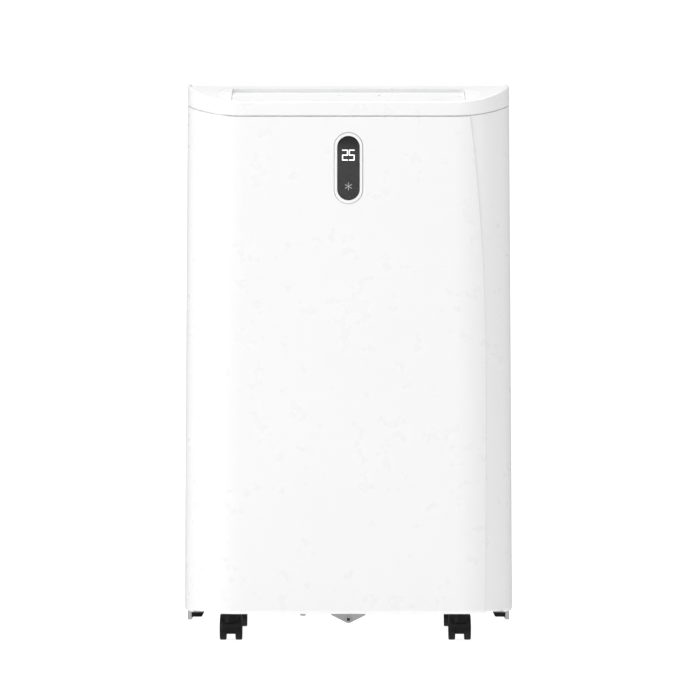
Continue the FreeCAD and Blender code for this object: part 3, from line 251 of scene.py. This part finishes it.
def lit_symbol(name, dark, light):
    """Light through the digits, slightly uneven; the snowflake, in the lowest third, is dimmer."""
    material, tree, shader = new_material(name)
    low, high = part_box("display_symbols")
    glow = noise(tree, scale=160.0, detail=2.0)
    above = add_node(tree, "ShaderNodeMath", operation="GREATER_THAN")
    above.inputs[1].default_value = low.z + (high.z - low.z) / 3
    tree.links.new(height(tree), above.inputs[0])
    level = map_range(tree, above.outputs["Value"], start=0.0, end=1.0, low=SNOWFLAKE_DIM, high=1.0)
    colour = dimmed(tree, tint(tree, glow, dark, light), level)
    tree.links.new(colour, shader.inputs["Base Color"])
    tree.links.new(colour, shader.inputs["Emission Color"])
    shader.inputs["Emission Strength"].default_value = SYMBOL_GLOW
    shader.inputs["Roughness"].default_value = 0.5
    return material


# The object's materials, by slot

WHITE = (0.898, 0.898, 0.901)
BRIGHT = (0.902, 0.902, 0.905)
BLACK = (0.004, 0.004, 0.0045)
SOFT_BLACK = (0.009, 0.009, 0.010)


def casing_materials():
    gloss = {"dark": WHITE, "light": BRIGHT, "grain": 1400.0, "depth": 0.00002}
    return {
        "white_shell": moulded("gloss_white_shell", rough=(0.272, 0.280), strength=0.005, coat=0.20, **gloss),
        "outlet_white": moulded("gloss_white_outlet", rough=(0.26, 0.34), strength=0.03, coat=0.15, **gloss),
        "bezel_white": moulded("gloss_white_bezel", rough=(0.20, 0.28), strength=0.02, coat=0.3, **gloss),
        # the deck's white is darker than the shell's: partly its own satin tone, partly painted shade
        # standing in for the shade on the deck
        "deck_white": moulded("satin_white_deck_painted_shade", dark=(0.79, 0.79, 0.795), light=(0.80, 0.80, 0.805),
                              rough=(0.42, 0.50), grain=1100.0, strength=0.12),
        "grille_white": moulded("satin_white_grille", dark=(0.78, 0.78, 0.79), light=(0.82, 0.82, 0.83),
                                rough=(0.40, 0.50), grain=1100.0, strength=0.1),
        "pan_grey": moulded("moulded_grey_pan", dark=(0.42, 0.42, 0.43), light=(0.48, 0.48, 0.49),
                            rough=(0.48, 0.60), grain=700.0, strength=0.15),
    }


def control_materials():
    return {
        "vane_grey": moulded("satin_grey_vane", dark=(0.58, 0.58, 0.59), light=(0.63, 0.63, 0.64),
                             rough=(0.40, 0.50)),
        "control_grey": moulded("gloss_grey_control", dark=(0.62, 0.62, 0.63), light=(0.66, 0.66, 0.67),
                                rough=(0.14, 0.24), grain=1400.0, strength=0.02, depth=0.00002, coat=0.5),
        "button_white": moulded("satin_white_button", dark=(0.83, 0.83, 0.84), light=(0.87, 0.87, 0.88),
                                rough=(0.34, 0.46)),
        "icon_grey": moulded("printed_grey_icon", dark=(0.16, 0.16, 0.17), light=(0.2, 0.2, 0.21),
                             rough=(0.4, 0.5), grain=1500.0, strength=0.05),
        "display_dark": dark_window("smoked_window_painted_top_shade", dark=(0.044, 0.044, 0.046), light=(0.048, 0.048, 0.050)),
        "display_light": lit_symbol("lit_symbol", dark=(0.93, 0.94, 0.95), light=(1.0, 1.0, 1.0)),
    }


def foot_materials():
    return {
        "caster_black": moulded("satin_black_caster", dark=BLACK, light=SOFT_BLACK, rough=(0.36, 0.48),
                                strength=0.12, specular=0.28),
        "caster_tread": moulded("rubber_black_wheel", dark=(0.008, 0.008, 0.008), light=(0.016, 0.016, 0.016),
                                rough=(0.45, 0.65), grain=500.0, strength=0.2, specular=0.3),
        "pad_rubber": moulded("matt_black_pad", dark=BLACK, light=SOFT_BLACK, rough=(0.55, 0.7), grain=500.0,
                              strength=0.25, depth=0.0001, specular=0.3),
        "bracket_grey": metal("painted_grey_bracket", dark=(0.50, 0.50, 0.51), light=(0.58, 0.58, 0.59),
                              rough=(0.34, 0.46), grain=80.0, stretch=(1, 0.1, 1), metallic=0.3),
        "tab_steel": metal("plated_steel_tab", dark=(0.33, 0.33, 0.335), light=(0.40, 0.40, 0.405),
                           rough=(0.38, 0.5), grain=120.0, stretch=(0.15, 1, 1), metallic=0.2),
    }


def inside_materials():
    return {
        "foam_white": foam("expanded_foam", dark=(0.66, 0.66, 0.64), light=(0.82, 0.82, 0.80)),
        "fin_aluminium": metal("rolled_aluminium_fin", dark=(0.66, 0.67, 0.69), light=(0.76, 0.77, 0.79),
                               rough=(0.30, 0.45), stretch=(1, 1, 0.1)),
        "copper": metal("drawn_copper", dark=(0.62, 0.30, 0.18), light=(0.78, 0.42, 0.27), rough=(0.24, 0.42),
                        grain=90.0),
        "fan_plastic": moulded("satin_dark_fan", dark=(0.03, 0.03, 0.032), light=(0.05, 0.05, 0.053),
                               rough=(0.42, 0.54)),
        "motor_steel": metal("painted_motor", dark=(0.30, 0.30, 0.31), light=(0.38, 0.38, 0.39),
                             rough=(0.38, 0.5), grain=70.0, metallic=0.6),
        "compressor_black": moulded("painted_compressor", dark=BLACK, light=SOFT_BLACK, rough=(0.30, 0.45),
                                    grain=200.0, strength=0.2, depth=0.0002),
        "grommet_rubber": moulded("matt_rubber", dark=(0.02, 0.02, 0.02), light=(0.035, 0.035, 0.035),
                                  rough=(0.6, 0.75), grain=500.0, strength=0.25),
        "zinc_steel": metal("zinc_steel", dark=(0.50, 0.50, 0.50), light=(0.62, 0.62, 0.61),
                            rough=(0.26, 0.42), grain=110.0),
        "filter_mesh": moulded("nylon_mesh", dark=(0.05, 0.05, 0.055), light=(0.08, 0.08, 0.085),
                               rough=(0.4, 0.55), grain=2000.0, strength=0.1),
    }


def dress_nodes(materials):
    """Gives each CAD node the material of its slot."""
    for part in frame["record"]["subparts"]:
        node = NODES[part["node"]]
        node.data.materials.clear()
        node.data.materials.append(materials[part["material_slot"]])


# Mesh helpers

def link(thing):
    bpy.context.scene.collection.objects.link(thing)


def smooth_object(name, bm, material):
    """An object with smooth shading from a mesh under construction, which it uses up."""
    mesh = bpy.data.meshes.new(name)
    bm.to_mesh(mesh)
    bm.free()
    mesh.materials.append(material)
    for polygon in mesh.polygons:
        polygon.use_smooth = True
    thing = bpy.data.objects.new(name, mesh)
    link(thing)
    return thing


def new_piece(name, bm, material, body):
    """A piece of the object, riding on a body."""
    piece = smooth_object(name, bm, material)
    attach(piece, body)
    return piece


def strand(bm, start, end):
    """A closed thin rod between two points."""
    run = end - start
    turn = run.to_track_quat("Z", "Y").to_matrix().to_4x4()
    place = Matrix.Translation((start + end) / 2) @ turn
    bmesh.ops.create_cone(bm, cap_ends=True, segments=STRAND_SIDES, radius1=STRAND_R, radius2=STRAND_R,
                          depth=run.length, matrix=place)


def block(bm, low, high):
    """A box between two corners."""
    place = Matrix.Translation((low + high) / 2)
    bmesh.ops.create_cube(bm, size=1, matrix=place @ Matrix.Diagonal((*(high - low), 1)))


# Filter meshes

def filter_weave(node, body, material):
    """A woven nylon mesh in a thin frame, in the place of a filter plate."""
    low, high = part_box(node)
    bm = bmesh.new()
    middle = (low.y + high.y) / 2
    across = int((high.x - low.x) / MESH_PITCH)
    up = int((high.z - low.z) / MESH_PITCH)
    for index in range(1, across):
        x = low.x + (high.x - low.x) * index / across
        y = middle - STRAND_R
        strand(bm, Vector((x, y, low.z + MESH_INSET)), Vector((x, y, high.z - MESH_INSET)))
    for index in range(1, up):
        y = middle + STRAND_R
        z = low.z + (high.z - low.z) * index / up
        strand(bm, Vector((low.x + MESH_INSET, y, z)), Vector((high.x - MESH_INSET, y, z)))
    inner_low = low + Vector((MESH_EDGE, 0, MESH_EDGE))
    inner_high = high - Vector((MESH_EDGE, 0, MESH_EDGE))
    block(bm, low, Vector((high.x, high.y, inner_low.z)))
    block(bm, Vector((low.x, low.y, inner_high.z)), high)
    block(bm, Vector((low.x, low.y, inner_low.z)), Vector((inner_low.x, high.y, inner_high.z)))
    block(bm, Vector((inner_high.x, low.y, inner_low.z)), Vector((high.x, high.y, inner_high.z)))
    weave = new_piece(node + "_weave", bm, material, body)
    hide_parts(node)


# Button icons

def level_direction(angle):
    return Vector((math.cos(angle), math.sin(angle), 0))


def flat_ring(bm, centre, radius, start=0.0, sweep=WHOLE_TURN):
    """A raised arc or ring on a level surface."""
    steps = max(ARC_LEAST, int(ARC_STEPS * sweep / WHOLE_TURN))
    closed = sweep == WHOLE_TURN
    inner = radius - ICON_LINE / 2
    outer = radius + ICON_LINE / 2
    section = ((inner, 0), (outer, 0), (outer, ICON_TALL), (inner, ICON_TALL))
    rows = []
    for index in range(steps if closed else steps + 1):
        out = level_direction(start + sweep * index / steps)
        rows.append([bm.verts.new(centre + out * r + Vector((0, 0, z))) for r, z in section])
    pairs = list(zip(rows, rows[1:])) + ([(rows[-1], rows[0])] if closed else [])
    for a, b in pairs:
        for side in range(4):
            bm.faces.new((a[side], a[(side + 1) % 4], b[(side + 1) % 4], b[side]))
    if not closed:
        bm.faces.new(rows[0][::-1])
        bm.faces.new(rows[-1])


def flat_bar(bm, start, end):
    """A raised straight stroke on a level surface."""
    run = end - start
    angle = math.atan2(run.y, run.x)
    middle = (start + end) / 2 + Vector((0, 0, ICON_TALL / 2))
    place = Matrix.Translation(middle) @ Matrix.Rotation(angle, 4, "Z")
    size = Matrix.Diagonal((run.length, ICON_LINE, ICON_TALL, 1))
    bmesh.ops.create_cube(bm, size=1, matrix=place @ size)


def power_icon(bm, centre):
    """A ring open towards the rear, with a stroke through the opening."""
    flat_ring(bm, centre, ICON_R, POWER_START, OPEN_ARC)
    flat_bar(bm, centre + Vector((0, POWER_LOW, 0)), centre + Vector((0, ICON_R + POWER_PAST, 0)))


def mode_icon(bm, centre):
    """A star of three strokes."""
    for turn in range(3):
        out = level_direction(math.radians(60 * turn + 30)) * ICON_R
        flat_bar(bm, centre - out, centre + out)


def fan_icon(bm, centre):
    """A hub and three blades, each an arc open towards the hub."""
    flat_ring(bm, centre, FAN_HUB_R)
    for turn in range(3):
        angle = math.radians(120 * turn + 90)
        blade = centre + level_direction(angle) * FAN_BLADE_OUT
        flat_ring(bm, blade, FAN_BLADE_R, angle - OPEN_ARC / 2, OPEN_ARC)


def timer_icon(bm, centre):
    """A clock face with two hands."""
    flat_ring(bm, centre, ICON_R)
    flat_bar(bm, centre, centre + Vector((0, ICON_R * LONG_HAND, 0)))
    flat_bar(bm, centre, centre + Vector((ICON_R * SHORT_HAND, 0, 0)))


def button_icons(material):
    for name, draw in (("power", power_icon), ("mode", mode_icon), ("fan", fan_icon), ("timer", timer_icon)):
        low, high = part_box(f"button_{name}")
        bm = bmesh.new()
        draw(bm, Vector(((low.x + high.x) / 2, (low.y + high.y) / 2, high.z)))
        new_piece(f"{name}_icon", bm, material, f"{name}_button")


# Studio

def stage_material():
    """A matt floor that glows a little, so that it reads as seamless white."""
    material, tree, shader = new_material("seamless_white")
    cloud = noise(tree, scale=3.0, detail=3.0)
    colour = tint(tree, cloud, dark=(0.44, 0.44, 0.44), light=(0.46, 0.46, 0.46))
    tree.links.new(colour, shader.inputs["Base Color"])
    shader.inputs["Roughness"].default_value = 0.9
    shader.inputs["Specular IOR Level"].default_value = 0.0
    shader.inputs["Emission Color"].default_value = (1, 1, 1, 1)
    shader.inputs["Emission Strength"].default_value = STAGE_GLOW
    return material


def make_stage():
    """A floor that curves up into a backdrop, which glossy surfaces don't mirror."""
    profile = [(STAGE_NEAR, 0.0)]
    for step in range(BEND_STEPS + 1):
        angle = math.pi / 2 * step / BEND_STEPS
        profile.append((STAGE_FAR - STAGE_BEND + STAGE_BEND * math.sin(angle),
                        STAGE_BEND - STAGE_BEND * math.cos(angle)))
    profile.append((STAGE_FAR, STAGE_TALL))
    bm = bmesh.new()
    left, right = [[bm.verts.new((x, y, z)) for y, z in profile] for x in (-STAGE_HALF, STAGE_HALF)]
    for index in range(len(profile) - 1):
        bm.faces.new((left[index], left[index + 1], right[index + 1], right[index]))
    sweep = smooth_object("studio_sweep", bm, stage_material())
    sweep.visible_glossy = False


def area_light(name, place, size, power):
    """A softbox aimed at the object, which the camera doesn't see."""
    data = bpy.data.lights.new(name, "AREA")
    data.shape = "RECTANGLE"
    data.size, data.size_y = size
    data.energy = power
    light = bpy.data.objects.new(name, data)
    light.location = place
    light.rotation_euler = (Vector(LIGHT_AIM) - Vector(place)).to_track_quat("-Z", "Y").to_euler()
    light.visible_camera = False
    link(light)


def make_lights():
    area_light("left_softbox", place=(-2.6, -2.2, 1.2), size=(1.6, 2.6), power=38)
    area_light("front_softbox", place=(-0.5, -4.2, 2.4), size=(3.0, 1.6), power=25)
    area_light("right_softbox", place=(2.6, -1.8, 1.0), size=(0.8, 2.4), power=1.5)
    area_light("top_softbox", place=(0, 0.3, 3.2), size=(2.4, 2.4), power=62)
    area_light("back_softbox", place=(0.8, 2.4, 1.8), size=(2.4, 1.6), power=3)


def make_world():
    world = bpy.data.worlds.new("studio")
    world.use_nodes = True
    background = world.node_tree.nodes["Background"]
    background.inputs["Color"].default_value = (1, 1, 1, 1)
    background.inputs["Strength"].default_value = WORLD_STRENGTH
    bpy.context.scene.world = world
    bpy.context.scene.view_settings.view_transform = "Standard"


def make_camera():
    data = bpy.data.cameras.new("camera")
    data.lens = CAMERA_LENS
    data.sensor_width = SENSOR_WIDTH
    data.clip_end = CAMERA_REACH
    camera = bpy.data.objects.new("camera", data)
    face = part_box("front_panel")[0].y
    camera.location = (CAMERA_X, face - CAMERA_AWAY, CAMERA_Z)
    camera.rotation_euler = (math.pi / 2, 0, 0)
    link(camera)
    bpy.context.scene.camera = camera


make_camera()
MATERIALS = {**casing_materials(), **control_materials(), **foot_materials(), **inside_materials()}
dress_nodes(MATERIALS)
filter_weave("upper_filter_mesh", "upper_filter", MATERIALS["filter_mesh"])
filter_weave("lower_filter_mesh", "lower_filter", MATERIALS["filter_mesh"])
button_icons(MATERIALS["icon_grey"])
make_stage()
make_lights()
make_world()
